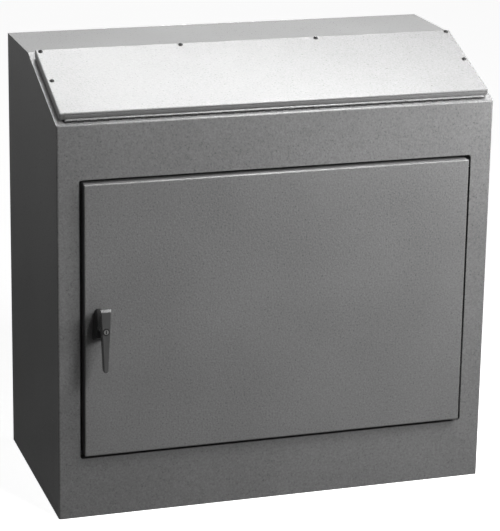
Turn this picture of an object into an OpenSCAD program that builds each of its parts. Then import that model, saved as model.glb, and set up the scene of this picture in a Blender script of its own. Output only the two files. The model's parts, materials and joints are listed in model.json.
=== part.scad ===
// Floor-standing console enclosure of folded and welded sheet steel. It has a flat top, a sloped panel
// under a hinged cover, and an upright front with a hinged door and a key-locking handle.
// The origin is the centre of the base on the floor. X runs to the right, Y to the back and Z up.

/* [Cabinet] */
// Width of the cabinet
body_w = 914; // [760:1:1220]
// Depth of the cabinet
body_d = 457; // [420:1:610]
// Height of the flat top above the floor
body_h = 914; // [840:1:1200]
// Depth of the flat top, from the back to the bend
top_d = 203; // [150:1:240]
// Slope of the panel from the horizontal, in degrees
slope_deg = 20; // [12:1:30]
// Thickness of the sheet steel
sheet = 2; // [1.5:0.1:2.5]
// Outer radius of the cabinet's bends
bend_r = 4; // [2.5:0.5:8]

/* [Door frame] */
// Margin from the cabinet's side to the door opening
opening_side = 44.5; // [40:0.5:90]
// Height of the opening's lower edge above the floor
opening_bottom = 127; // [80:1:180]
// Margin from the front's top edge down to the opening
opening_top = 111.5; // [80:0.5:180]
// Corner radius of the opening
opening_r = 6; // [3:0.5:10]
// Depth of the frame folded in around the opening
frame_d = 26; // [24:0.5:32]
// Width of the land at the back of the frame, on which the gasket lies
land_w = 18; // [16:0.5:20]

/* [Door] */
// How far the door stands out from the cabinet's front
door_proud = 9.5; // [6:0.5:11]
// Outer radius of the door's bends
door_bend_r = 3; // [2:0.5:5]
// Corner radius of the door, seen from the front
door_corner_r = 3; // [2:0.5:6]
// Width of the lip folded in at the back of the door's flanges
door_lip = 14; // [11:0.5:15]
// Thickness of the door's gasket
door_gasket_t = 5; // [3:0.5:8]

/* [Cover] */
// Margin from the cabinet's side to the cover
cover_side = 9; // [6:0.5:30]
// Margin from the slope's front edge up to the cover
cover_front = 15; // [14:0.5:30]
// Margin from the cover up to the slope's top bend
cover_back = 20; // [12:0.5:30]
// Height of the cover's face above the slope
cover_rise = 18; // [16:0.5:24]
// Clearance under the cover's flanges
cover_clear = 4.5; // [3:0.5:6]
// Outer radius of the cover's bends
cover_bend_r = 2.5; // [2:0.5:5]
// Corner radius of the cover, seen from above
cover_corner_r = 2.5; // [2:0.5:5]
// Distance from the cover's edge to the lip around the slope's opening
lip_inset = 24; // [23:0.5:32]
// Corner radius of the slope's opening
lip_r = 12; // [4:0.5:20]
// Thickness of the cover's gasket
cover_gasket_t = 5; // [3:0.5:6]
// Width of the cover's gasket
cover_gasket_w = 14; // [8:0.5:15]

/* [Hinges] */
// Diameter of the hinge barrels
knuckle_d = 6; // [5:0.5:8]
// Diameter of the hinge pins
pin_d = 3; // [2:0.5:3.5]
// Clearance between a barrel and the faces beside it
hinge_clear = 0.75; // [0.5:0.05:0.9]
// Thickness of the hinge leaves
leaf_t = 1.2; // [1.1:0.1:1.6]
// Reach of the leaves on the sloped panel, the frame and the door, from the hinge axis
leaf_w = 17; // [12:0.5:18]
// Reach of the leaf on the cover's flange, from the hinge axis
cover_leaf_w = 9; // [7:0.5:11]
// Length of one knuckle of the cover's hinge
cover_knuckle = 12.7; // [12:0.1:25.4]
// Length of one knuckle of the door's hinge
door_knuckle = 25.4; // [20:0.1:38.1]
// Shortest distance from the hinges' ends to the ends of the cover and door
hinge_end = 6; // [4:1:40]

/* [Cover screws] */
// Number of screws along the cover's top edge
screw_count = 4; // [3:1:6]
// Distance from the cover's side to the screws
screw_side = 10; // [9:0.5:12]
// Distance from the cover's top edge to the screws
screw_edge = 8; // [8:0.5:12]
// Diameter of the screws' shanks
screw_d = 4.8; // [4:0.1:5]
// Length of the screws below the head
screw_len = 27; // [26:0.5:32]
// Diameter of the screws' heads
screw_head_d = 10; // [8:0.5:11]
// Height of the screws' heads
screw_head_h = 3.6; // [3:0.2:5]

/* [Handle] */
// Distance from the door's left edge to the latch spindle
handle_edge = 29; // [27:0.5:40]
// Height of the spindle above the door's middle
handle_rise = 0; // [-100:5:100]
// Width of the handle's base at its foot
base_w = 29; // [26:1:36]
// Width of the handle's base at its top
base_top_w = 17; // [15:1:24]
// Height of the handle's base above the spindle
base_up = 29; // [27:1:36]
// Depth of the handle's base below the spindle
base_down = 35; // [30:1:40]
// Front of the handle's base, from the door's face
base_front = 30; // [24:0.5:36]
// Front of the lever, from the door's face
lever_front = 62; // [56:0.5:72]
// Thickness of the lever's grip
lever_t = 11; // [8:0.5:13]
// Length of the lever above the spindle
lever_up = 46; // [40:1:56]
// Length of the lever below the spindle
lever_down = 86; // [60:1:120]
// Width of the lever at its top
lever_w_top = 22; // [21:0.5:28]
// Width of the lever at its rounded end
lever_w_end = 10.5; // [8:0.5:16]
// Length of the deep head of the lever, down from its top
lever_head = 38; // [20:1:40]
// Height of the slanted crown at the lever's top
crown_h = 6; // [3:0.5:10]
// Depth of the slanted crown at the lever's top
crown_d = 3; // [2:0.5:8]
// Bevel round the front of the lever
lever_bevel = 1.5; // [0.5:0.25:2.5]
// Diameter of the hub behind the lever
hub_d = 20; // [18:0.5:24]

/* [Lock and latch] */
// Diameter of the lock cylinder
lock_d = 14; // [12.5:0.5:14.5]
// Length of the lock cylinder
lock_len = 17; // [14:0.5:18]
// Diameter of the lock plug
plug_d = 10; // [7:0.5:10.5]
// Diameter of the latch spindle
spindle_d = 12; // [10:0.5:14]
// Width of the square on the spindle that carries the cam
square_w = 8; // [6.5:0.1:9]
// Thickness of the latch cam
cam_t = 4; // [3:0.5:6]
// Width of the cam's tongue
cam_w = 18; // [14:0.5:24]
// Reach of the cam's tongue, from the spindle axis
cam_reach = 33; // [28:0.5:34]
// Clearance between the cam and the back of the frame's land
cam_clear = 1.5; // [0.5:0.1:3]
// Diameter of the thread on the spindle's end
thread_d = 6; // [4:0.5:6.5]

/* [Studs] */
// Distance from the cabinet's side to the panel studs
stud_side = 76; // [50:1:150]
// Distance from the cabinet's floor and top to the panel studs
stud_end = 76; // [50:1:150]
// Diameter of the panel studs
stud_d = 9.5; // [6:0.5:12]
// Length of the panel studs beyond their collars
stud_len = 25; // [15:1:40]
// Diameter of the studs' collars
collar_d = 19; // [14:0.5:25]
// Thickness of the studs' collars
collar_t = 6; // [3:0.5:10]
// Distance from the cabinet's side to the grounding stud
ground_side = 40; // [30:1:60]
// Height of the grounding stud above the floor
ground_z = 36; // [25:1:60]
// Diameter of the grounding stud
ground_d = 6; // [5:0.5:8]
// Length of the grounding stud
ground_len = 20; // [15:1:30]

/* [Hidden] */
$fn = 48;

// Overshoot of every cut, so that it passes clean through
cut = 1;
// Flat steps in the arc of a rounded corner
arc_steps = 6;
// Play of a turning or pushed-in round fit, on the radius
fit_play = 0.05;
// Gap between a soft or turning piece and the face that it rests against
seat_gap = 0.3;

front_y = -body_d / 2;
back_y = body_d / 2;
front_h = body_h - (body_d - top_d) * tan(slope_deg);
slope_len = (body_d - top_d) / cos(slope_deg);
back_wall_y = back_y - sheet;

opening_w = body_w - 2 * opening_side;
opening_h = front_h - opening_top - opening_bottom;
opening_z = opening_bottom + opening_h / 2;
land_depth = frame_d - sheet;

// The door's gap holds the hinge barrel, with the same clearance on both sides
hinge_off = knuckle_d / 2 + hinge_clear;
door_gap = 2 * hinge_off;
door_w = opening_w - 2 * door_gap;
door_h = opening_h - 2 * door_gap;
door_back = land_depth - door_gasket_t - seat_gap;
door_face_y = front_y - door_proud;
gasket_edge = 1;

cover_w = body_w - 2 * cover_side;
cover_len = slope_len - cover_front - cover_back;
cover_mid = cover_front + cover_len / 2;
lip_w = cover_w - 2 * lip_inset;
lip_len = cover_len - 2 * lip_inset;
lip_top = cover_rise - sheet - cover_gasket_t - seat_gap;

// End play between neighbouring knuckles
knuckle_play = 0.4;
cover_hinge_u = cover_front - hinge_off;
cover_knuckles = odd_count(cover_w - 2 * hinge_end, cover_knuckle);
door_knuckles = odd_count(door_h - 2 * hinge_end, door_knuckle);
door_hinge_x = opening_w / 2 - hinge_off;

// Radial clearances of a cover screw in the cover and in its nut, and in the sloped panel
screw_hole_play = 0.6;
panel_hole_play = 1;
screw_slot_w = 1.4;
screw_slot_depth = 1.6;
retainer_t = 1.2;
retainer_rim = 1.8;
weld_nut_af = 11;
weld_nut_h = 5;
screw_x = cover_w / 2 - screw_side;
screw_pitch = 2 * screw_x / (screw_count - 1);
screw_places = concat(
    [for (i = [0:screw_count - 1]) [i * screw_pitch - screw_x, cover_front + cover_len - screw_edge]],
    [for (side = [-1, 1]) [side * screw_x, cover_mid]]
);

handle_x = handle_edge - door_w / 2;
handle_z = opening_z + handle_rise;
base_gasket_t = 1.5;
// The base is drawn in towards its front, most of all at its foot
base_draft = 1.5;
base_foot_draft = 11;
base_foot_t = 3;
base_foot_r = 5;
base_top_r = 7;
lever_gap = 0.5;
lever_back = lever_front - lever_t;
head_slant = 12;
head_drop = 9;
base_screw_d = 4.8;
base_screw_depth = 16;
base_screw_head_d = 9;
base_screw_head_h = 3;
base_screw_z = base_up - base_top_w / 2;
door_hole_play = 1.5;

lock_rim = 1;
lock_floor = 2;
key_w = 0.22 * plug_d;
key_h = 0.75 * plug_d;
key_depth = 6;
socket_depth = 10;
spindle_front = base_front + lever_gap + socket_depth;
cam_front = -(door_proud + frame_d + cam_clear);
cam_back = cam_front - cam_t;
cam_hub_d = 26;
washer_t = 1.6;
washer_d = 18;
spindle_nut_af = 13;
spindle_nut_h = 6;
thread_end = 3;

ground_nut_af = 10;
ground_nut_h = 5;

paint = "#7c7c7c";
dark_paint = "#3c3c3c";
zinc = "#b9bbbd";
dark_steel = "#2b2b2b";
rubber = "#1c1c1c";

function unit(v) = v / norm(v);
function spin(v, deg) = [v.x * cos(deg) - v.y * sin(deg), v.x * sin(deg) + v.y * cos(deg)];
function cyclic(points, i) = points[(i + len(points)) % len(points)];
function odd_count(length, pitch) = 2 * floor((length / pitch - 1) / 2) + 1;

// A rectangle about the origin
function rectangle(w, h) = [[-w / 2, -h / 2], [w / 2, -h / 2], [w / 2, h / 2], [-w / 2, h / 2]];

// The points of an arc of radius r in place of one corner
function corner(before, here, after, r) =
    let(
        a = unit(before - here),
        b = unit(after - here),
        half = acos(a * b) / 2,
        centre = here + unit(a + b) * r / sin(half),
        start = here + a * r / tan(half) - centre
    )
    r <= 0 ? [here] : [for (i = [0:arc_steps]) centre + spin(start, (180 - 2 * half) * i / arc_steps)];

// A counterclockwise convex outline with its corners rounded, by one radius or by one for each corner
function rounded(points, r) = [
    for (i = [0:len(points) - 1])
        each corner(cyclic(points, i - 1), points[i], cyclic(points, i + 1), is_list(r) ? r[i] : r)
];

// A convex outline with every edge moved inwards
function inset(points, by) = [
    for (i = [0:len(points) - 1])
        let(a = unit(cyclic(points, i - 1) - points[i]), b = unit(cyclic(points, i + 1) - points[i]))
            points[i] + (a + b) * by / abs(cross(a, b))
];

// The handle's base seen from the front, down to its foot and drawn in on every side
function base_outline(by, foot) =
    let(
        low = base_w / 2,
        top = base_top_w / 2,
        corners = [[-low, -foot], [low, -foot], [top, base_up], [-top, base_up]]
    )
    rounded(inset(corners, by), [base_foot_r, base_foot_r, base_top_r, base_top_r]);

// The lever seen from the front, drawn in on every side
function lever_outline(by) = concat(
    [[lever_w_top / 2 - by, lever_up - by], [by - lever_w_top / 2, lever_up - by]],
    [
        for (a = [180:15:360])
            [0, lever_w_end / 2 - lever_down] + (lever_w_end / 2 - by) * [cos(a), sin(a)]
    ]
);

// A solid from an outline in Y and Z, across X
module across(points, w) {
    rotate([90, 0, 90]) linear_extrude(w, center = true) polygon(points);
}

// A solid from an outline in X and Z, from y0 to y1
module lengthwise(points, y0, y1) {
    translate([0, y1, 0]) rotate([90, 0, 0]) linear_extrude(y1 - y0) polygon(points);
}

// A round solid along Y, from y0 to y1
module round_bar(d, y0, y1) {
    translate([0, y1, 0]) rotate([90, 0, 0]) cylinder(d = d, h = y1 - y0);
}

// A hexagonal solid upwards from the origin, with a round hole
module hex_nut(af, h, bore_d) {
    difference() {
        cylinder(d = af / cos(30), h = h, $fn = 6);
        translate([0, 0, -cut]) cylinder(d = bore_d, h = h + 2 * cut);
    }
}

// Moves pieces to the slope: Y runs up it from its front edge, and Z stands square on it
module on_slope() {
    translate([0, front_y, front_h]) rotate([slope_deg, 0, 0]) children();
}

// Moves pieces to the spindle axis, at the door's face
module at_handle() {
    translate([handle_x, door_face_y, handle_z]) children();
}

// A block with rounded upper edges and upright corners, from z0 up to top
module pan_block(w, h, z0, top, edge_r, corner_r) {
    section_y = [[-h / 2, z0], [h / 2, z0], [h / 2, top], [-h / 2, top]];
    section_x = [[-w / 2, z0], [w / 2, z0], [w / 2, top], [-w / 2, top]];
    intersection() {
        translate([0, 0, z0]) linear_extrude(top - z0) polygon(rounded(rectangle(w, h), corner_r));
        across(rounded(section_y, [0, 0, edge_r, edge_r]), w);
        rotate([0, 0, 90]) across(rounded(section_x, [0, 0, edge_r, edge_r]), h);
    }
}

// A folded pan with its face on top, its flanges down to the origin, and a lip folded in below them
module folded_pan(w, h, depth, edge_r, corner_r, lip) {
    inner_w = w - 2 * sheet;
    inner_h = h - 2 * sheet;
    floor_z = lip > 0 ? sheet : -cut;
    difference() {
        pan_block(w, h, 0, depth, edge_r, corner_r);
        pan_block(inner_w, inner_h, floor_z, depth - sheet, edge_r - sheet, corner_r - sheet);
        if (lip > 0)
            translate([0, 0, -cut]) linear_extrude(sheet + 2 * cut)
                polygon(rectangle(w - 2 * lip, h - 2 * lip));
    }
}

// One leaf of a continuous hinge. The axis lies along X, and the leaf runs along Y below it. Every other
// knuckle belongs to this leaf, from the given first one on. A foot carries the knuckles down in front.
module hinge_leaf(count, knuckle, first, reach, foot) {
    length = count * knuckle;
    difference() {
        union() {
            translate([-length / 2, hinge_off, -hinge_off]) cube([length, reach - hinge_off, leaf_t]);
            for (i = [first:2:count - 1])
                translate([i * knuckle + knuckle_play / 2 - length / 2, 0, 0]) {
                    rotate([0, 90, 0]) cylinder(d = knuckle_d, h = knuckle - knuckle_play);
                    translate([0, 0, -hinge_off])
                        cube([knuckle - knuckle_play, hinge_off + cut, leaf_t]);
                    if (foot > 0)
                        translate([0, -foot, -hinge_off]) cube([knuckle - knuckle_play, foot, hinge_off]);
                }
        }
        rotate([0, 90, 0]) cylinder(d = pin_d + 2 * fit_play, h = length + 2 * cut, center = true);
    }
}

module hinge_pin(count, knuckle) {
    rotate([0, 90, 0]) cylinder(d = pin_d, h = count * knuckle, center = true);
}

module at_cover_hinge() {
    on_slope() translate([0, cover_hinge_u, hinge_off]) children();
}

module at_door_hinge() {
    translate([door_hinge_x, front_y, opening_z]) children();
}

// The cabinet's block inside or outside the sheet
module cabinet_block(by) {
    side = [[front_y, 0], [back_y, 0], [back_y, body_h], [back_y - top_d, body_h], [front_y, front_h]];
    r = bend_r - by;
    intersection() {
        across(rounded(inset(side, by), [0, 0, r, r, r]), body_w);
        linear_extrude(body_h) polygon(rounded(rectangle(body_w - 2 * by, body_d - 2 * by), r));
    }
}

// A block on the sloped panel, centred under the cover, from z0 to z1
module slope_block(w, len, r, z0, z1) {
    on_slope() translate([0, cover_mid, z0]) linear_extrude(z1 - z0) polygon(rounded(rectangle(w, len), r));
}

// A block in the door opening, drawn in from the opening's edge, from one depth to another
module opening_block(by, from, to) {
    w = opening_w - 2 * by;
    h = opening_h - 2 * by;
    translate([0, 0, opening_z])
        lengthwise(rounded(rectangle(w, h), opening_r - by), front_y + from, front_y + to);
}

module cabinet_body() {
    color(paint) difference() {
        union() {
            difference() {
                cabinet_block(0);
                cabinet_block(sheet);
            }
            opening_block(-sheet, sheet / 2, frame_d);
            slope_block(lip_w, lip_len, lip_r, -sheet / 2, lip_top);
        }
        opening_block(0, -cut, land_depth);
        opening_block(land_w, 0, frame_d + cut);
        slope_block(lip_w - 2 * sheet, lip_len - 2 * sheet, lip_r - sheet, -2 * sheet, lip_top + cut);
        for (p = screw_places)
            on_slope() translate([p.x, p.y, -sheet - cut])
                cylinder(d = screw_d + 2 * panel_hole_play, h = sheet + 2 * cut);
    }
}

// Collar studs on the back wall, for a mounting panel
module panel_studs() {
    color(zinc)
        for (x = [stud_side - body_w / 2, body_w / 2 - stud_side], z = [stud_end, body_h - stud_end])
            translate([x, back_wall_y, z]) {
                round_bar(collar_d, -collar_t, 0);
                round_bar(stud_d, -collar_t - stud_len, 0);
            }
}

module at_ground() {
    translate([ground_side - body_w / 2, back_wall_y, ground_z]) children();
}

module ground_stud() {
    color(zinc) at_ground() round_bar(ground_d, -ground_len, 0);
}

module ground_nut() {
    color(zinc) at_ground() rotate([90, 0, 0])
        hex_nut(ground_nut_af, ground_nut_h, ground_d + 2 * fit_play);
}

module door_hinge_body_leaf() {
    color(dark_steel) at_door_hinge() rotate([0, -90, 0])
        hinge_leaf(door_knuckles, door_knuckle, 0, leaf_w, 0);
}

module door_hinge_door_leaf() {
    color(dark_steel) at_door_hinge() rotate([0, 90, 0])
        hinge_leaf(door_knuckles, door_knuckle, 1, leaf_w, 0);
}

module door_hinge_pin() {
    color(zinc) at_door_hinge() rotate([0, 90, 0]) hinge_pin(door_knuckles, door_knuckle);
}

// Gasket on the frame's land, where the door's lip presses
module door_gasket() {
    color(rubber) difference() {
        opening_block(door_gap + gasket_edge, land_depth - door_gasket_t, land_depth);
        opening_block(land_w - gasket_edge, 0, frame_d);
    }
}

module cover_hinge_body_leaf() {
    color(paint) at_cover_hinge()
        hinge_leaf(cover_knuckles, cover_knuckle, 0, leaf_w, knuckle_d / 2);
}

module cover_hinge_cover_leaf() {
    color(paint) at_cover_hinge() rotate([90, 0, 0])
        hinge_leaf(cover_knuckles, cover_knuckle, 1, cover_leaf_w, 0);
}

module cover_hinge_pin() {
    color(zinc) at_cover_hinge() hinge_pin(cover_knuckles, cover_knuckle);
}

module cover_weld_nuts() {
    color(zinc) for (p = screw_places)
        on_slope() translate([p.x, p.y, -sheet - weld_nut_h])
            hex_nut(weld_nut_af, weld_nut_h, screw_d + 2 * screw_hole_play);
}

module slope_cover() {
    color(paint) on_slope() difference() {
        translate([0, cover_mid, cover_clear])
            folded_pan(cover_w, cover_len, cover_rise - cover_clear, cover_bend_r, cover_corner_r, 0);
        for (p = screw_places)
            translate([p.x, p.y, cover_rise - sheet - cut])
                cylinder(d = screw_d + 2 * screw_hole_play, h = sheet + 2 * cut);
    }
}

// Gasket under the cover, over the lip round the slope's opening
module cover_gasket() {
    outer = cover_gasket_w - sheet;
    inner = -cover_gasket_w - sheet;
    top = cover_rise - sheet;
    color(rubber) difference() {
        slope_block(lip_w + outer, lip_len + outer, lip_r, top - cover_gasket_t, top);
        slope_block(lip_w + inner, lip_len + inner, lip_r - sheet, lip_top, top + cut);
    }
}

// Captive screws with a domed, slotted head
module cover_screws() {
    dome_r = (pow(screw_head_d / 2, 2) + pow(screw_head_h, 2)) / (2 * screw_head_h);
    color(dark_steel) for (p = screw_places)
        on_slope() translate([p.x, p.y, cover_rise]) {
            translate([0, 0, -screw_len]) cylinder(d = screw_d, h = screw_len + sheet);
            difference() {
                intersection() {
                    cylinder(d = screw_head_d, h = screw_head_h);
                    translate([0, 0, screw_head_h - dome_r]) sphere(r = dome_r);
                }
                translate([-screw_head_d / 2, -screw_slot_w / 2, screw_head_h - screw_slot_depth])
                    cube([screw_head_d, screw_slot_w, screw_slot_depth + cut]);
            }
        }
}

// Rings that keep the screws in the cover
module cover_screw_retainers() {
    bore_d = screw_d + 2 * fit_play;
    color(zinc) for (p = screw_places)
        on_slope() translate([p.x, p.y, cover_rise - sheet - retainer_t]) difference() {
            cylinder(d = bore_d + 2 * retainer_rim, h = retainer_t);
            translate([0, 0, -cut]) cylinder(d = bore_d, h = retainer_t + 2 * cut);
        }
}

module front_door() {
    color(paint) difference() {
        translate([0, front_y + door_back, opening_z]) rotate([90, 0, 0])
            folded_pan(door_w, door_h, door_back + door_proud, door_bend_r, door_corner_r, door_lip);
        at_handle() {
            round_bar(spindle_d + 2 * door_hole_play, -cut, sheet + cut);
            for (z = [-base_screw_z, base_screw_z])
                translate([0, 0, z]) round_bar(base_screw_d + 2 * screw_hole_play, -cut, sheet + cut);
        }
    }
}

module handle_gasket() {
    color(rubber) at_handle() difference() {
        lengthwise(base_outline(0, base_down), -base_gasket_t, 0);
        round_bar(spindle_d + 2 * door_hole_play, -base_gasket_t - cut, cut);
        for (z = [-base_screw_z, base_screw_z])
            translate([0, 0, z])
                round_bar(base_screw_d + 2 * screw_hole_play, -base_gasket_t - cut, cut);
    }
}

// Cast base on the door, which carries the spindle
module handle_base() {
    color(dark_paint) at_handle() difference() {
        hull() {
            lengthwise(base_outline(0, base_down), -base_gasket_t - base_foot_t, -base_gasket_t);
            lengthwise(base_outline(base_draft, base_down - base_foot_draft), -base_front, -base_gasket_t);
        }
        round_bar(spindle_d + 2 * fit_play, -base_front - cut, 0);
        for (z = [-base_screw_z, base_screw_z])
            translate([0, 0, z])
                round_bar(base_screw_d + 2 * fit_play, -base_gasket_t - base_screw_depth - cut, 0);
    }
}

module handle_screws() {
    color(zinc) at_handle() for (z = [-base_screw_z, base_screw_z])
        translate([0, 0, z]) {
            round_bar(base_screw_d, -base_gasket_t - base_screw_depth, sheet + base_screw_head_h);
            round_bar(base_screw_head_d, sheet, sheet + base_screw_head_h);
        }
}

// Cast lever: a tapered grip with a crowned, deep head above the spindle, and a hub round the spindle's end
module handle_lever() {
    hub_back = -base_front - lever_gap;
    head_z = lever_up - lever_head;
    side = [
        [-lever_front, lever_up - crown_h],
        [-lever_front, -lever_down],
        [-lever_back, -lever_down],
        [-lever_back, head_z - head_slant],
        [hub_back, head_z],
        [hub_back, lever_up - head_drop],
        [crown_d - lever_front, lever_up]
    ];
    color(dark_paint) at_handle() difference() {
        union() {
            intersection() {
                hull() {
                    lengthwise(lever_outline(0), lever_bevel - lever_front, hub_back);
                    lengthwise(lever_outline(lever_bevel), -lever_front, hub_back);
                }
                across(side, lever_w_top);
            }
            round_bar(hub_d, -lever_back - cut, hub_back);
        }
        round_bar(lock_d + 2 * fit_play, -lever_front - cut, lock_len - lever_front);
        round_bar(spindle_d + 2 * fit_play, -spindle_front - fit_play, hub_back + cut);
    }
}

module lock_cylinder() {
    color(dark_steel) at_handle() difference() {
        round_bar(lock_d, -lever_front - lock_rim, lock_len - lever_front);
        round_bar(plug_d + 2 * fit_play, -lever_front - lock_rim - cut, lock_len - lock_floor - lever_front);
    }
}

// The plug that a key turns
module lock_plug() {
    front = -lever_front - lock_rim;
    back = lock_len - lock_floor - seat_gap - lever_front;
    color(dark_steel) at_handle() difference() {
        round_bar(plug_d, front, back);
        translate([-key_w / 2, front - cut, -key_h / 2]) cube([key_w, key_depth + cut, key_h]);
    }
}

// Spindle with a square for the cam and a threaded end
module latch_spindle() {
    end = cam_back - washer_t - spindle_nut_h - thread_end;
    color(zinc) at_handle() {
        round_bar(spindle_d, -spindle_front, -cam_front);
        lengthwise(rectangle(square_w, square_w), -cam_front - cut, -cam_back);
        round_bar(thread_d, -cam_back - cut, -end);
    }
}

// Latch cam: its tongue lies behind the frame's land when the lever hangs down
module latch_cam() {
    hole_w = square_w + 2 * fit_play;
    tip_x = cam_w / 2 - cam_reach;
    color(zinc) at_handle() difference() {
        union() {
            round_bar(cam_hub_d, -cam_front, -cam_back);
            translate([tip_x, 0, 0]) round_bar(cam_w, -cam_front, -cam_back);
            translate([tip_x, -cam_front, -cam_w / 2]) cube([-tip_x, cam_t, cam_w]);
        }
        lengthwise(rectangle(hole_w, hole_w), -cam_front - cut, -cam_back + cut);
    }
}

module spindle_washer() {
    color(zinc) at_handle() difference() {
        round_bar(washer_d, -cam_back, washer_t - cam_back);
        round_bar(thread_d + 2 * fit_play, -cam_back - cut, washer_t - cam_back + cut);
    }
}

module spindle_nut() {
    color(zinc) at_handle() translate([0, washer_t + spindle_nut_h - cam_back, 0]) rotate([90, 0, 0])
        hex_nut(spindle_nut_af, spindle_nut_h, thread_d + 2 * fit_play);
}

cabinet_body();
panel_studs();
ground_stud();
ground_nut();
door_hinge_body_leaf();
door_hinge_pin();
door_gasket();
cover_hinge_body_leaf();
cover_hinge_pin();
cover_weld_nuts();
front_door();
door_hinge_door_leaf();
handle_gasket();
handle_base();
handle_screws();
handle_lever();
lock_cylinder();
lock_plug();
latch_spindle();
latch_cam();
spindle_washer();
spindle_nut();
slope_cover();
cover_gasket();
cover_hinge_cover_leaf();
cover_screws();
cover_screw_retainers();
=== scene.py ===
import json
import math

import bmesh
import bpy
from mathutils import Matrix, Vector

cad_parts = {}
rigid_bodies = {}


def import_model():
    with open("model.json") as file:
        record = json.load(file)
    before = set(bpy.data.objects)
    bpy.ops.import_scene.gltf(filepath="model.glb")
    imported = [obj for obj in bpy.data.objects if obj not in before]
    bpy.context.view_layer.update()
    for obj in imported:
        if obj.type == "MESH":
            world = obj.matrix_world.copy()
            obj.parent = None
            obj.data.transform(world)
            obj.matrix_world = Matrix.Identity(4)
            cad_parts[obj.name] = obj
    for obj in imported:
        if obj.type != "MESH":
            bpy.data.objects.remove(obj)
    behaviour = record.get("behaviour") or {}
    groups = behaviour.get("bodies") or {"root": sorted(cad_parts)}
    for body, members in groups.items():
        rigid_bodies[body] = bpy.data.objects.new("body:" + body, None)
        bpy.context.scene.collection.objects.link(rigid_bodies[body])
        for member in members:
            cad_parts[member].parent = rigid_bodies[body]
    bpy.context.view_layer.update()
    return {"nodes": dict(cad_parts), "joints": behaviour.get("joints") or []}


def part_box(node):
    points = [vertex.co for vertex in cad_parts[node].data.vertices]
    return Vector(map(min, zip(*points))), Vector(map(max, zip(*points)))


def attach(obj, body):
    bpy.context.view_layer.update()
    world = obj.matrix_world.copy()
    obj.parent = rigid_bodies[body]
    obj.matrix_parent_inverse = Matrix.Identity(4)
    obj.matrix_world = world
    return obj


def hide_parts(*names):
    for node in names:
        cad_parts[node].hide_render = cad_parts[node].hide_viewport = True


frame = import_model()
nodes = frame["nodes"]


# Cabinet shell: 2 mm sheet steel, folded at the corners and along the slope, with its seams welded
# and ground flush. It is sprayed inside and out with a grey textured enamel, which is baked on.

def linear(code):
    """Linear RGBA of one sRGB hex colour."""
    channels = [int(code[i:i + 2], 16) / 255 for i in (1, 3, 5)]
    return (*(c / 12.92 if c <= 0.04045 else ((c + 0.055) / 1.055) ** 2.4 for c in channels), 1)


def add_node(tree, kind, inputs=None, **settings):
    """Adds a node. Its inputs are plain values, or the sockets that they are linked from."""
    node = tree.nodes.new(kind)
    for name, value in settings.items():
        setattr(node, name, value)
    for name, value in (inputs or {}).items():
        if isinstance(value, bpy.types.NodeSocket):
            tree.links.new(value, node.inputs[name])
        else:
            node.inputs[name].default_value = value
    return node


def start_material(name, **shader_values):
    """A new material, with its node tree, its shader and the coordinates of the piece."""
    material = bpy.data.materials.new(name)
    material.use_nodes = True
    tree = material.node_tree
    shader = tree.nodes["Principled BSDF"]
    for socket, value in shader_values.items():
        shader.inputs[socket.replace("_", " ")].default_value = value
    place = add_node(tree, "ShaderNodeTexCoord").outputs["Object"]
    return material, tree, shader, place


def finish_material(tree, shader, **links):
    """Links the sockets of a finished pattern to the shader."""
    for socket, source in links.items():
        tree.links.new(source, shader.inputs[socket.replace("_", " ")])


def coat(material, *names):
    """Gives the solids with these names one material."""
    for name in names:
        nodes[name].data.materials.clear()
        nodes[name].data.materials.append(material)


# Baked enamel with a fine sprayed texture: an even neutral grey, slightly gritty, with a satin
# sheen that turns bright where it mirrors a lamp. The grit is 1 mm across, and it is drawn coarser
# so that it shows.
ENAMEL_LOW = "#626262"
ENAMEL_HIGH = "#7c7c7c"
ENAMEL_GRIT = 0.0036
ENAMEL_PEEL = 0.0045
ENAMEL_CLOUD = 0.22
ENAMEL_GRAIN = 0.65
ENAMEL_SMOOTH = 0.27
ENAMEL_ROUGH = 0.34
ENAMEL_IOR = 1.5
CLOUD_SHARE = 0.25
NOISE_RANGE = {"From Min": 0.3, "From Max": 0.7}
enamel, tree, shader, place = start_material("textured_baked_enamel", IOR=ENAMEL_IOR)
grit = add_node(tree, "ShaderNodeTexNoise", {
    "Vector": place, "Scale": 1 / ENAMEL_GRIT, "Detail": 2.0, "Roughness": ENAMEL_GRAIN})
cloud = add_node(tree, "ShaderNodeTexNoise", {
    "Vector": place, "Scale": 1 / ENAMEL_CLOUD, "Detail": 2.0})
peel = add_node(tree, "ShaderNodeTexNoise", {
    "Vector": place, "Scale": 1 / ENAMEL_PEEL, "Detail": 2.0, "Roughness": ENAMEL_GRAIN})
speck = add_node(tree, "ShaderNodeMath", {
    0: grit.outputs["Fac"], 1: 1 - CLOUD_SHARE}, operation="MULTIPLY")
blotch = add_node(tree, "ShaderNodeMath", {
    0: cloud.outputs["Fac"], 1: CLOUD_SHARE, 2: speck.outputs[0]}, operation="MULTIPLY_ADD")
share = add_node(tree, "ShaderNodeMapRange", {
    "Value": blotch.outputs[0], "From Min": 0.32, "From Max": 0.68})
tint = add_node(tree, "ShaderNodeMix", {
    0: share.outputs[0], 6: linear(ENAMEL_LOW), 7: linear(ENAMEL_HIGH)}, data_type="RGBA")
gloss = add_node(tree, "ShaderNodeMapRange", {
    "Value": grit.outputs["Fac"], **NOISE_RANGE, "To Min": ENAMEL_SMOOTH, "To Max": ENAMEL_ROUGH})
skin = add_node(tree, "ShaderNodeBump", {
    "Strength": 0.9, "Distance": 0.0004, "Height": peel.outputs["Fac"]})
finish_material(tree, shader, Base_Color=tint.outputs[2], Roughness=gloss.outputs[0],
                Normal=skin.outputs[0])
coat(enamel, "cabinet_body")


# Collar studs: four steel studs with a collar and a 3/8 inch thread, 16 to the inch, for a mounting
# panel. They are turned, threaded and zinc plated, and their collars are welded to the back wall.

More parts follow.
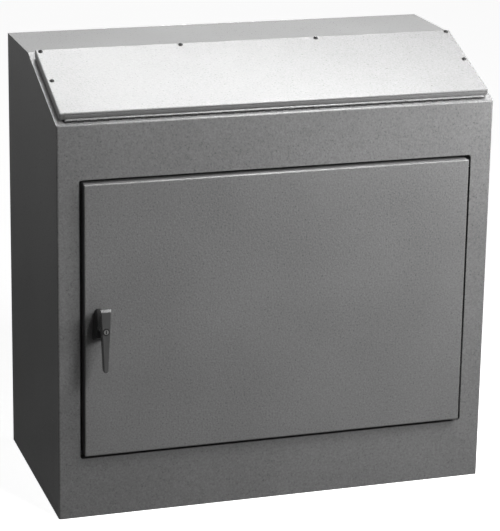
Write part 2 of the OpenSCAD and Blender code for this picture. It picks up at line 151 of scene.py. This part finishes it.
def turn_down(mesh, allowed):
    """Draws in the points that lie further from Z than is allowed at their height."""
    for vert in mesh.verts:
        reach = math.hypot(vert.co.x, vert.co.y)
        if reach > allowed(vert.co.z):
            vert.co.xy *= allowed(vert.co.z) / reach


def threaded_rod(radius, pitch, length):
    """A rod up Z with a V thread: a tooth spun up a helix, cut square and chamfered at its tip."""
    steps = 24
    turns = math.ceil(length / pitch) + 2
    depth = 0.6 * pitch
    root = radius - depth
    rod = bmesh.new()
    corners = ((root, -pitch), (radius, -pitch / 2), (root, 0))
    tooth = [rod.verts.new((r, 0, z)) for r, z in corners]
    edges = [rod.edges.new(pair) for pair in zip(tooth, tooth[1:])]
    bmesh.ops.spin(rod, geom=tooth + edges, cent=(0, 0, 0), axis=(0, 0, 1),
                   dvec=(0, 0, pitch / steps), angle=2 * math.pi * turns, steps=steps * turns)
    bmesh.ops.remove_doubles(rod, verts=rod.verts, dist=pitch / 50)
    for z, side in ((0, -1), (length, 1)):
        bmesh.ops.bisect_plane(rod, geom=rod.verts[:] + rod.edges[:] + rod.faces[:],
                               plane_co=(0, 0, z), plane_no=(0, 0, side), clear_outer=True)
    turn_down(rod, lambda z: root + length - z)
    bmesh.ops.holes_fill(rod, edges=[e for e in rod.edges if e.is_boundary], sides=0)
    bmesh.ops.recalc_face_normals(rod, faces=rod.faces)
    return rod


MERGE_DISTANCE = 1e-6


def turned(profile):
    """A solid of revolution about Z, from radii and heights that start and end on Z."""
    solid = bmesh.new()
    verts = [solid.verts.new((r, 0, z)) for r, z in profile]
    edges = [solid.edges.new(pair) for pair in zip(verts, verts[1:])]
    bmesh.ops.spin(solid, geom=verts + edges, cent=(0, 0, 0), axis=(0, 0, 1), angle=2 * math.pi,
                   steps=48, use_merge=True)
    bmesh.ops.remove_doubles(solid, verts=solid.verts, dist=MERGE_DISTANCE)
    bmesh.ops.recalc_face_normals(solid, faces=solid.faces)
    return solid


def join(mesh, part, place):
    """Adds a copy of a finished shape to a mesh, at its place."""
    data = bpy.data.meshes.new("part")
    part.to_mesh(data)
    data.transform(place)
    mesh.from_mesh(data)
    bpy.data.meshes.remove(data)


def make_piece(name, mesh, material):
    """Makes a finished mesh an object, smooth but for its sharp edges."""
    sharp_angle = math.radians(32)
    data = bpy.data.meshes.new(name)
    mesh.to_mesh(data)
    mesh.free()
    data.polygons.foreach_set("use_smooth", [True] * len(data.polygons))
    data.set_sharp_from_angle(angle=sharp_angle)
    data.materials.append(material)
    piece = bpy.data.objects.new(name, data)
    bpy.context.scene.collection.objects.link(piece)
    return piece


def finished_steel(name, dark, pale, mottle, detail, grain, smooth, rough):
    """Steel with a thin finish, whose fine crystals mottle its colour and its gloss."""
    plate, tree, shader, place = start_material(name, Metallic=1.0)
    crystals = add_node(tree, "ShaderNodeTexNoise", {
        "Vector": place, "Scale": 1 / mottle, "Detail": detail, "Roughness": grain})
    tint = add_node(tree, "ShaderNodeMix", {
        0: crystals.outputs["Fac"], 6: linear(dark), 7: linear(pale)}, data_type="RGBA")
    gloss = add_node(tree, "ShaderNodeMapRange", {
        "Value": crystals.outputs["Fac"], **NOISE_RANGE, "To Min": smooth, "To Max": rough})
    finish_material(tree, shader, Base_Color=tint.outputs[2], Roughness=gloss.outputs[0])
    return plate


# Zinc plate on steel: a pale silver metal with a faint crystal mottle, and a soft gloss that
# mirrors nothing sharply.
zinc = finished_steel("zinc_plated_steel", dark="#9fa1a2", pale="#c2c4c4", mottle=0.004,
                      detail=3.0, grain=0.6, smooth=0.28, rough=0.42)

STUD_R = 0.00475
STUD_PITCH = 0.0254 / 16
COLLAR_R = 0.0095
COLLAR_T = 0.006
COLLAR_EDGE = 0.0007
TO_FRONT = Matrix.Rotation(math.radians(90), 4, "X")
low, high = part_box("panel_studs")
stud = threaded_rod(STUD_R, STUD_PITCH, high.y - low.y)
collar = turned([(0, 0), (COLLAR_R, 0), (COLLAR_R, COLLAR_T - COLLAR_EDGE),
                 (COLLAR_R - COLLAR_EDGE, COLLAR_T), (0, COLLAR_T)])
mesh = bmesh.new()
for x in (low.x + COLLAR_R, high.x - COLLAR_R):
    for z in (low.z + COLLAR_R, high.z - COLLAR_R):
        for part in (stud, collar):
            join(mesh, part, Matrix.Translation((x, high.y, z)) @ TO_FRONT)
studs = make_piece("collar_studs", mesh, zinc)
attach(studs, "cabinet")
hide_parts("panel_studs")


# Grounding stud: a steel stud with an M6 thread, welded to the back wall near the floor, and the
# hexagon nut on it. Both are zinc plated.

def thicken(mesh, height):
    """Extrudes the flat faces of a mesh upwards into a closed solid."""
    raised = bmesh.ops.extrude_face_region(mesh, geom=mesh.faces[:])["geom"]
    top = [g for g in raised if isinstance(g, bmesh.types.BMVert)]
    bmesh.ops.translate(mesh, vec=(0, 0, height), verts=top)
    bmesh.ops.recalc_face_normals(mesh, faces=mesh.faces)


def hex_nut(flats, height, bore_r):
    """A hexagon nut upwards from the origin, with its corners chamfered at both ends."""
    sides, cuts = 6, 5
    corner_r = flats / 2 / math.cos(math.pi / sides)
    face_r = 0.48 * flats
    chamfer = 0.06 * flats
    chamfer_rise = math.tan(math.radians(30))
    nut = bmesh.new()
    bmesh.ops.create_circle(nut, segments=sides, radius=corner_r)
    bmesh.ops.subdivide_edges(nut, edges=nut.edges[:], cuts=cuts)
    bmesh.ops.create_circle(nut, segments=sides * (cuts + 1), radius=bore_r)
    bmesh.ops.bridge_loops(nut, edges=nut.edges[:])
    thicken(nut, height)
    for z in (chamfer, chamfer / 2, height - chamfer / 2, height - chamfer):
        bmesh.ops.bisect_plane(nut, geom=nut.verts[:] + nut.edges[:] + nut.faces[:],
                               plane_co=(0, 0, z), plane_no=(0, 0, 1))
    turn_down(nut, lambda z: face_r + min(z, height - z) / chamfer_rise)
    return nut


GROUND_R = 0.003
GROUND_PITCH = 0.001
low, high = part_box("ground_stud")
middle = (low + high) / 2
at_wall = Matrix.Translation((middle.x, high.y, middle.z)) @ TO_FRONT
mesh = bmesh.new()
join(mesh, threaded_rod(GROUND_R, GROUND_PITCH, high.y - low.y), at_wall)
ground_stud = make_piece("grounding_stud", mesh, zinc)
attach(ground_stud, "cabinet")
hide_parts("ground_stud")

low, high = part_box("ground_nut")
mesh = bmesh.new()
join(mesh, hex_nut(high.z - low.z, high.y - low.y, GROUND_R), at_wall)
ground_nut = make_piece("grounding_nut", mesh, zinc)
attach(ground_nut, "cabinet")
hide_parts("ground_nut")


# Continuous hinges: strips of thin steel with knuckles rolled at their edge, on a long pin. The
# cover's leaves are welded on and sprayed with the cabinet, with painted shade under the knuckles.
# The door's, out of sight in its gap, are blackened; the black also paints the shade of the gap.

# Black oxide on steel: a dark, slightly oily metal, with a dull grey light on its rounded edges.
oxide = finished_steel("black_oxide_steel", dark="#242424", pale="#383838", mottle=0.002,
                       detail=3.0, grain=0.5, smooth=0.18, rough=0.26)
# Black on the door's leaves also stands in for the shade in the gap beside the door: painted shade.
coat(oxide, "door_hinge_body_leaf", "door_hinge_door_leaf")

SLOPE = math.radians(20)
# Heights over the pin's middle line where the painted shade under the knuckles fades into the
# enamel.
FULL_SHADE_BELOW = 0.0006
NO_SHADE_ABOVE = 0.0016
joint_at = {joint["name"]: Vector(joint["pos_m"]) for joint in frame["joints"]}


def enamel_with_painted_shade(name, below):
    """The cabinet's enamel on top of the knuckles, and a painted shade below the pin's height."""
    sprayed, tree, shader, place = start_material(name, IOR=ENAMEL_IOR)
    from_pin = add_node(tree, "ShaderNodeVectorMath", {
        0: place, 1: joint_at["cover_lift"]}, operation="SUBTRACT")
    height = add_node(tree, "ShaderNodeVectorMath", {
        0: from_pin.outputs[0], 1: (0, -math.sin(SLOPE), math.cos(SLOPE))},
        operation="DOT_PRODUCT")
    # Painted shade under the knuckles: 0 below the pin's height, 1 where the enamel shows.
    reach = add_node(tree, "ShaderNodeMapRange", {
        "Value": height.outputs["Value"], "From Min": FULL_SHADE_BELOW, "From Max": NO_SHADE_ABOVE})
    grit = add_node(tree, "ShaderNodeTexNoise", {
        "Vector": place, "Scale": 1 / ENAMEL_GRIT, "Detail": 2.0, "Roughness": ENAMEL_GRAIN})
    tint = add_node(tree, "ShaderNodeMix", {
        0: grit.outputs["Fac"], 6: linear(ENAMEL_LOW), 7: linear(ENAMEL_HIGH)}, data_type="RGBA")
    enamel_or_painted_shade = add_node(tree, "ShaderNodeMix", {
        0: reach.outputs[0], 6: linear(below), 7: tint.outputs[2]}, data_type="RGBA")
    gloss = add_node(tree, "ShaderNodeMapRange", {
        "Value": grit.outputs["Fac"], **NOISE_RANGE,
        "To Min": ENAMEL_SMOOTH, "To Max": ENAMEL_ROUGH})
    finish_material(tree, shader, Base_Color=enamel_or_painted_shade.outputs[2], Roughness=gloss.outputs[0])
    return sprayed


# Enamel with painted shade: grey on top and painted shade under the knuckles, near black under
# the cover's and dark grey under the cabinet's. It gives the row of dark dashes along the hinge.
coat(enamel_with_painted_shade("enamel_with_black_painted_shade", below="#0c0c0c"), "cover_hinge_cover_leaf")
coat(enamel_with_painted_shade("enamel_with_grey_painted_shade", below="#3c3c3c"), "cover_hinge_body_leaf")
coat(zinc, "door_hinge_pin", "cover_hinge_pin")


# Weld nuts: hexagon nuts welded under the sloped panel, one below each cover screw. They are plain
# steel with zinc plate.
CABINET_FRONT = -0.2285
CABINET_TOP = 0.914
SHEET = 0.002
SLOPE_RUN = 0.254
SLOPE_LENGTH = SLOPE_RUN / math.cos(SLOPE)
COVER_FRONT = 0.015
COVER_BACK = 0.020
COVER_LENGTH = SLOPE_LENGTH - COVER_FRONT - COVER_BACK
COVER_MIDDLE = COVER_FRONT + COVER_LENGTH / 2
SCREW_INSET = 0.008
SCREW_TOP = COVER_FRONT + COVER_LENGTH - SCREW_INSET
SCREW_X = 0.438
screw_places = [(x, SCREW_TOP) for x in (-SCREW_X, -SCREW_X / 3, SCREW_X / 3, SCREW_X)]
screw_places += [(x, COVER_MIDDLE) for x in (-SCREW_X, SCREW_X)]
slope_foot = (0, CABINET_FRONT, CABINET_TOP - SLOPE_RUN * math.tan(SLOPE))
on_slope = Matrix.Translation(slope_foot) @ Matrix.Rotation(SLOPE, 4, "X")

WELD_NUT_FLATS = 0.011
WELD_NUT_H = 0.005
WELD_NUT_BORE = 0.003
nut = hex_nut(WELD_NUT_FLATS, WELD_NUT_H, WELD_NUT_BORE)
mesh = bmesh.new()
for x, y in screw_places:
    join(mesh, nut, on_slope @ Matrix.Translation((x, y, -SHEET - WELD_NUT_H)))
weld_nuts = make_piece("weld_nuts", mesh, zinc)
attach(weld_nuts, "cabinet")
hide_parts("cover_weld_nuts")


# Door gasket: a bead of black foam rubber, poured as one ring onto the frame's land, where the
# door's folded lip presses on it.

def gasket_bead(width, height, band, thick):
    """A flat ring upwards from the origin, with a crowned top."""
    crown_r = min(0.42 * band, 0.75 * thick)
    bead = bmesh.new()
    bmesh.ops.create_grid(bead, x_segments=1, y_segments=1, size=0.5)
    bmesh.ops.scale(bead, vec=(width, height, 1), verts=bead.verts)
    middle = bead.faces[:]
    bmesh.ops.inset_region(bead, faces=middle, thickness=band, use_even_offset=True,
                           use_boundary=True)
    bmesh.ops.delete(bead, geom=middle, context="FACES")
    thicken(bead, thick)
    crown = [e for e in bead.edges if all(v.co.z > thick / 2 for v in e.verts)
             and e.calc_face_angle() > math.radians(45)]
    bmesh.ops.bevel(bead, geom=crown, offset=crown_r, offset_type="OFFSET", affect="EDGES",
                    segments=5, profile=0.5, material=-1, clamp_overlap=True)
    return bead


# Poured foam rubber: matt black, with fine open pores in its skin.
RUBBER_LOW = "#101010"
RUBBER_HIGH = "#242424"
RUBBER_PORE = 0.0012
rubber, tree, shader, place = start_material("poured_foam_rubber", Roughness=0.85)
pores = add_node(tree, "ShaderNodeTexVoronoi", {"Vector": place, "Scale": 1 / RUBBER_PORE})
tint = add_node(tree, "ShaderNodeMix", {
    0: pores.outputs["Distance"], 6: linear(RUBBER_HIGH), 7: linear(RUBBER_LOW)},
    data_type="RGBA")
skin = add_node(tree, "ShaderNodeBump", {
    "Strength": 0.4, "Distance": 0.0002, "Height": pores.outputs["Distance"]})
finish_material(tree, shader, Base_Color=tint.outputs[2], Normal=skin.outputs[0])

DOOR_BEAD_BAND = 0.0085
low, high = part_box("door_gasket")
middle = (low + high) / 2
mesh = bmesh.new()
join(mesh, gasket_bead(high.x - low.x, high.z - low.z, DOOR_BEAD_BAND, high.y - low.y),
     Matrix.Translation((middle.x, high.y, middle.z)) @ TO_FRONT)
door_bead = make_piece("door_gasket_bead", mesh, rubber)
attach(door_bead, "cabinet")
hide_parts("door_gasket")


# Front door: a pan of the same sheet steel, with flanges and a lip folded back all round. It is
# sprayed with the cabinet's enamel, and hangs on the hinge at its right edge.
coat(enamel, "front_door")


# Handle base: a die-cast zinc block, narrow at its top and drawn in at its foot, on a rubber
# gasket. Two screws hold it from inside the door, and it is enamelled black.

def softened(name, size, chosen):
    """A copy of a solid, with the convex edges that a test chooses rounded."""
    flat, convex = math.radians(0.5), math.radians(25)
    mesh = bmesh.new()
    mesh.from_mesh(nodes[name].data)
    bmesh.ops.remove_doubles(mesh, verts=mesh.verts, dist=MERGE_DISTANCE)
    bmesh.ops.dissolve_limit(mesh, angle_limit=flat, verts=mesh.verts, edges=mesh.edges)
    sharp = [e for e in mesh.edges if e.is_manifold and e.calc_face_angle_signed() > convex
             and all(chosen(v.co) for v in e.verts)]
    bmesh.ops.bevel(mesh, geom=sharp, offset=size, offset_type="OFFSET", affect="EDGES",
                    segments=3, profile=0.5, material=-1, clamp_overlap=False)
    return mesh


def even_shading(piece):
    """Keeps the flat faces of a rounded piece flat to the eye."""
    piece.modifiers.new("even_shading", "WEIGHTED_NORMAL").keep_sharp = True


CAST_WAVE = 0.012


def enamelled_casting(name, dark, pale, smooth, rough, **constants):
    """Enamel on a die casting, with the slight waviness of a cast and sprayed skin."""
    cast, tree, shader, place = start_material(name, **constants)
    wave = add_node(tree, "ShaderNodeTexNoise", {
        "Vector": place, "Scale": 1 / CAST_WAVE, "Detail": 1.0})
    tint = add_node(tree, "ShaderNodeMix", {
        0: wave.outputs["Fac"], 6: linear(dark), 7: linear(pale)}, data_type="RGBA")
    gloss = add_node(tree, "ShaderNodeMapRange", {
        "Value": wave.outputs["Fac"], **NOISE_RANGE, "To Min": smooth, "To Max": rough})
    skin = add_node(tree, "ShaderNodeBump", {
        "Strength": 0.15, "Distance": 0.0002, "Height": wave.outputs["Fac"]})
    finish_material(tree, shader, Base_Color=tint.outputs[2], Roughness=gloss.outputs[0],
                    Normal=skin.outputs[0])
    return cast


# Black enamel: nearly black with a dull sheen, so that the base reads as a dark block behind the
# lever.
black_cast = enamelled_casting("black_enamelled_casting", dark="#0a0a0a", pale="#141414",
                               smooth=0.4, rough=0.46, Specular_IOR_Level=0.2)
coat(rubber, "handle_gasket")

spindle_at = joint_at["handle_turn"]


def from_spindle(point):
    """Distance of a point from the middle line of the handle's spindle."""
    return math.hypot(point.x - spindle_at.x, point.z - spindle_at.z)


BASE_EDGE = 0.0016
BASE_FOOT = 0.006
BORE_ZONE = 0.0085
mesh = softened("handle_base", BASE_EDGE, lambda point: spindle_at.y - point.y > BASE_FOOT
                and from_spindle(point) > BORE_ZONE)
base = make_piece("handle_base_casting", mesh, black_cast)
even_shading(base)
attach(base, "door")
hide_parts("handle_base")


def cut_out(mesh, tool):
    """A closed shape with another one cut out of it."""
    shapes = []
    for shape in (mesh, tool):
        data = bpy.data.meshes.new("shape")
        shape.to_mesh(data)
        shape.free()
        shapes.append(bpy.data.objects.new("shape", data))
        bpy.context.scene.collection.objects.link(shapes[-1])
    cut = shapes[0].modifiers.new("cut", "BOOLEAN")
    cut.operation = "DIFFERENCE"
    cut.solver = "EXACT"
    cut.object = shapes[1]
    bpy.context.view_layer.update()
    result = bmesh.new()
    result.from_object(shapes[0], bpy.context.evaluated_depsgraph_get())
    for shape in shapes:
        bpy.data.meshes.remove(shape.data)
    return result


def pan_screw(head_r, head_h, slot_w, slot_depth):
    """A domed, slotted screw head upwards from the origin."""
    steps = 12
    dome = (head_r ** 2 + head_h ** 2) / (2 * head_h)
    rim = math.asin(head_r / dome)
    angles = [rim * i / steps for i in range(steps + 1)]
    arc = [(dome * math.sin(a), head_h - dome + dome * math.cos(a)) for a in angles]
    head = turned([*arc, (0, 0)])
    slot = bmesh.new()
    bmesh.ops.create_cube(slot, size=1)
    bmesh.ops.scale(slot, vec=(3 * head_r, slot_w, 2 * slot_depth), verts=slot.verts)
    bmesh.ops.translate(slot, vec=(0, 0, head_h), verts=slot.verts)
    return cut_out(head, slot)


BASE_SCREW_R = 0.0024
BASE_SCREW_PITCH = 0.0008
BASE_SCREW_HEAD_R = 0.0045
BASE_SCREW_HEAD_H = 0.003
TURNED_OVER = Matrix.Rotation(math.pi, 4, "X")
low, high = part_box("handle_screws")
head = pan_screw(BASE_SCREW_HEAD_R, BASE_SCREW_HEAD_H, slot_w=0.0012, slot_depth=0.0014)
shank = threaded_rod(BASE_SCREW_R, BASE_SCREW_PITCH, high.y - low.y - BASE_SCREW_HEAD_H)
mesh = bmesh.new()
for z in (low.z + BASE_SCREW_HEAD_R, high.z - BASE_SCREW_HEAD_R):
    seat = Matrix.Translation((spindle_at.x, high.y - BASE_SCREW_HEAD_H, z)) @ TO_FRONT
    join(mesh, shank, seat)
    join(mesh, head, seat @ TURNED_OVER)
base_screws = make_piece("handle_base_screws", mesh, zinc)
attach(base_screws, "door")
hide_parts("handle_screws")


# Handle lever: a die casting with a flat tapered grip, a deep crowned head above the spindle and a
# round hub. It is enamelled dark grey, and pinned to the spindle.

# Hard dark enamel: dark grey and glossy, so that the crown of the lever shines white under the key.
grey_cast = enamelled_casting("grey_enamelled_casting", dark="#2e2e2e", pale="#383838",
                              smooth=0.2, rough=0.24, IOR=1.7)
LEVER_EDGE = 0.0007
HUB_ZONE = 0.0112
mesh = softened("handle_lever", LEVER_EDGE, lambda point: from_spindle(point) > HUB_ZONE)
lever = make_piece("handle_lever_casting", mesh, grey_cast)
even_shading(lever)
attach(lever, "handle")
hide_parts("handle_lever")


# Lock: a blackened steel cylinder pressed into the lever, and the plug in it, which a key turns.
# The plug is plated with black nickel.

# Black nickel plate: a smoky, bright metal, so that the plug shines round its dark keyway.
nickel = finished_steel("black_nickel_plate", dark="#6e6e6e", pale="#8c8c8c", mottle=0.0015,
                        detail=2.0, grain=0.5, smooth=0.12, rough=0.2)
LOCK_EDGE = 0.0004
FACE_DEPTH = 1e-5
lock_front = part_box("lock_cylinder")[0].y
mesh = softened("lock_cylinder", LOCK_EDGE, lambda point: point.y < lock_front + FACE_DEPTH)
lock = make_piece("lock_barrel", mesh, oxide)
even_shading(lock)
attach(lock, "handle")
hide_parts("lock_cylinder")
coat(nickel, "lock_plug")


# Latch: a steel spindle through the door with a square for the cam and an M6 thread, and the washer
# and nut that hold the cam. All are zinc plated.
SPINDLE_R = 0.006
SPINDLE_EDGE = 0.0005
SPINDLE_SQUARE = 0.008
SPINDLE_THREAD_R = 0.003
SPINDLE_PITCH = 0.001
low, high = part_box("latch_spindle")
cam_low, cam_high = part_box("latch_cam")
shaft_front = spindle_at.y - low.y
shaft_back = spindle_at.y - cam_low.y
square_back = spindle_at.y - cam_high.y
end_r = SPINDLE_R - SPINDLE_EDGE
shaft = turned([(0, shaft_back), (end_r, shaft_back), (SPINDLE_R, shaft_back + SPINDLE_EDGE),
                (SPINDLE_R, shaft_front - SPINDLE_EDGE), (end_r, shaft_front), (0, shaft_front)])
square_front = shaft_back + SPINDLE_EDGE
square = bmesh.new()
bmesh.ops.create_cube(square, size=1)
bmesh.ops.scale(square, vec=(SPINDLE_SQUARE, SPINDLE_SQUARE, square_front - square_back),
                verts=square.verts)
bmesh.ops.translate(square, vec=(0, 0, (square_front + square_back) / 2), verts=square.verts)
bmesh.ops.bevel(square, geom=square.edges[:], offset=SPINDLE_EDGE, offset_type="OFFSET",
                affect="EDGES", segments=2, profile=0.5, material=-1)
thread = threaded_rod(SPINDLE_THREAD_R, SPINDLE_PITCH, high.y - cam_low.y)
at_door = Matrix.Translation(spindle_at) @ TO_FRONT
mesh = bmesh.new()
join(mesh, shaft, at_door)
join(mesh, square, at_door)
join(mesh, thread, at_door @ Matrix.Translation((0, 0, shaft_back)) @ TURNED_OVER)
spindle = make_piece("latch_spindle_shaft", mesh, zinc)
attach(spindle, "handle")
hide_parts("latch_spindle")

CAM_EDGE = 0.0005
mesh = softened("latch_cam", CAM_EDGE, lambda point: from_spindle(point) > SPINDLE_SQUARE)
cam = make_piece("latch_cam_plate", mesh, zinc)
even_shading(cam)
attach(cam, "handle")
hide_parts("latch_cam")
coat(zinc, "spindle_washer")

low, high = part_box("spindle_nut")
mesh = bmesh.new()
join(mesh, hex_nut(high.z - low.z, high.y - low.y, SPINDLE_THREAD_R),
     Matrix.Translation((spindle_at.x, high.y, spindle_at.z)) @ TO_FRONT)
spindle_nut = make_piece("latch_spindle_nut", mesh, zinc)
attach(spindle_nut, "handle")
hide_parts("spindle_nut")


# Slope cover: a shallow pan of sheet steel, hinged along its front edge and sprayed with the
# cabinet's enamel. A flat ring of foam rubber inside it closes on the lip round the opening of the
# sloped panel.
COVER_RISE = 0.018
COVER_BEAD_BAND = 0.014
COVER_BEAD_T = 0.005
COVER_BEAD_W = 0.860
COVER_BEAD_INSET = 0.018
coat(enamel, "slope_cover")
bead_length = COVER_LENGTH - 2 * COVER_BEAD_INSET
under_cover = on_slope @ Matrix.Translation((0, COVER_MIDDLE, COVER_RISE - SHEET))
mesh = bmesh.new()
join(mesh, gasket_bead(COVER_BEAD_W, bead_length, COVER_BEAD_BAND, COVER_BEAD_T),
     under_cover @ TURNED_OVER)
cover_bead = make_piece("cover_gasket_ring", mesh, rubber)
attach(cover_bead, "cover")
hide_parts("cover_gasket")


# Cover screws: captive steel screws with a domed, slotted head and a number 10 thread, blackened,
# each kept by a zinc-plated ring under the cover.
SCREW_R = 0.0024
SCREW_PITCH = 0.0254 / 24
SCREW_LENGTH = 0.027
SCREW_HEAD_R = 0.005
SCREW_HEAD_H = 0.0036
head = pan_screw(SCREW_HEAD_R, SCREW_HEAD_H, slot_w=0.0014, slot_depth=0.0016)
shank = threaded_rod(SCREW_R, SCREW_PITCH, SCREW_LENGTH)
mesh = bmesh.new()
for x, y in screw_places:
    seat = on_slope @ Matrix.Translation((x, y, COVER_RISE))
    join(mesh, head, seat)
    join(mesh, shank, seat @ TURNED_OVER)
cover_screws = make_piece("cover_captive_screws", mesh, oxide)
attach(cover_screws, "cover")
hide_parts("cover_screws")
coat(zinc, "cover_screw_retainers")


# Studio floor: a wide sheet of pale paper that the cabinet stands on. It is white to the camera,
# and keeps a light shadow of the cabinet.

def background_rays(tree):
    """The rays from the camera, and all that show the background, in a mirror or glass too."""
    rays = add_node(tree, "ShaderNodeLightPath").outputs
    mirrored = add_node(tree, "ShaderNodeMath", {
        0: rays["Is Glossy Ray"], 1: rays["Is Transmission Ray"]}, operation="MAXIMUM")
    seen = add_node(tree, "ShaderNodeMath", {
        0: rays["Is Camera Ray"], 1: mirrored.outputs[0]}, operation="MAXIMUM")
    return rays["Is Camera Ray"], seen.outputs[0]


# Studio paper: matt white to the eye. It is grey to the rays that only carry light, so that it
# throws little of it up at the cabinet.
FLOOR_R = 7.0
FLOOR_WHITE = "#eeeeee"
FLOOR_GREY = "#484848"
FLOOR_LIFT = 0.93
WHITE = linear("#ffffff")
floor_paper = bpy.data.materials.new("studio_paper")
floor_paper.use_nodes = True
tree = floor_paper.node_tree
tree.nodes.clear()
camera_ray, seen = background_rays(tree)
lift = add_node(tree, "ShaderNodeMath", {0: camera_ray, 1: FLOOR_LIFT}, operation="MULTIPLY")
glow = add_node(tree, "ShaderNodeEmission", {"Color": WHITE, "Strength": lift.outputs[0]})
pale = add_node(tree, "ShaderNodeBsdfDiffuse", {"Color": linear(FLOOR_WHITE)})
lifted = add_node(tree, "ShaderNodeAddShader", {0: pale.outputs[0], 1: glow.outputs[0]})
plain = add_node(tree, "ShaderNodeBsdfDiffuse", {"Color": linear(FLOOR_GREY)})
paper = add_node(tree, "ShaderNodeMixShader", {0: seen, 1: plain.outputs[0], 2: lifted.outputs[0]})
add_node(tree, "ShaderNodeOutputMaterial", {"Surface": paper.outputs[0]})
mesh = bmesh.new()
bmesh.ops.create_circle(mesh, cap_ends=True, segments=96, radius=FLOOR_R)
floor = make_piece("studio_floor", mesh, floor_paper)


# Studio light: a key from the upper right, a small lamp close on the right, weak ones from the left
# and from behind, and two long soft boxes overhead, which the cover, its hinge and the bend below
# it mirror. All but the key and the right lamp are flagged off the floor.

def add_lamp(name, at, aim, size, power, spread=180):
    """A soft rectangular lamp that points from one place to another."""
    data = bpy.data.lights.new(name, "AREA")
    data.shape = "RECTANGLE"
    data.size, data.size_y = size
    data.energy = power
    data.spread = math.radians(spread)
    lamp = bpy.data.objects.new(name, data)
    lamp.location = at
    lamp.rotation_euler = (Vector(aim) - Vector(at)).to_track_quat("-Z", "Y").to_euler()
    lamp.visible_camera = False
    bpy.context.scene.collection.objects.link(lamp)
    return lamp


add_lamp("key", at=(0.62, -2.02, 1.74), aim=(-0.1, -0.23, 0.42), size=(0.65, 0.65), power=31.0)
add_lamp("right_lamp", at=(1.0, -0.62, 1.1), aim=(0.4, -0.23, 0.68), size=(0.5, 0.5), power=15.5)
flagged_lamps = [
    add_lamp("left_lamp", at=(-2.2, 0.4, 2.2), aim=(-0.457, 0, 0.6), size=(0.6, 0.6), power=19.0),
    add_lamp("rear_lamp", at=(0.8, 3.0, 0.42), aim=(0, 0.23, 0.5), size=(0.8, 0.8), power=60.0),
    add_lamp("back_box", at=(0.25, 1.09, 2.6), aim=(-0.3, -0.1, 0.87), size=(2.2, 0.45),
             power=3.4, spread=50),
    add_lamp("front_box", at=(0.6, -0.42, 2.6), aim=(0, -0.25, 0.83), size=(1.8, 0.35),
             power=11.0, spread=70)]
whole_part = bpy.data.collections.new("lit_but_for_the_floor")
for piece in bpy.context.scene.objects:
    if piece.type == "MESH" and piece != floor:
        whole_part.objects.link(piece)
for lamp in flagged_lamps:
    lamp.light_linking.receiver_collection = whole_part

FILL = 0.015
world = bpy.data.worlds.new("studio")
bpy.context.scene.world = world
world.use_nodes = True
tree = world.node_tree
tree.nodes.clear()
seen = background_rays(tree)[1]
fill = add_node(tree, "ShaderNodeBackground", {"Color": WHITE, "Strength": FILL})
white = add_node(tree, "ShaderNodeBackground", {"Color": WHITE, "Strength": 1.0})
sky = add_node(tree, "ShaderNodeMixShader", {0: seen, 1: fill.outputs[0], 2: white.outputs[0]})
add_node(tree, "ShaderNodeOutputWorld", {"Surface": sky.outputs[0]})
bpy.context.scene.view_settings.view_transform = "Standard"


# Camera: at the photograph's viewing angle, from the left and above, with a long lens. A small
# shift frames the cabinet as the photograph does.
lens = bpy.data.cameras.new("camera")
lens.lens = 154.97
lens.sensor_width = 36
lens.shift_y = -0.0951
camera = bpy.data.objects.new("camera", lens)
camera.location = (-1.3989, -4.4199, 1.8883)
camera.rotation_euler = [math.radians(a) for a in (73.858, -0.897, -17.435)]
bpy.context.scene.collection.objects.link(camera)
bpy.context.scene.camera = camera
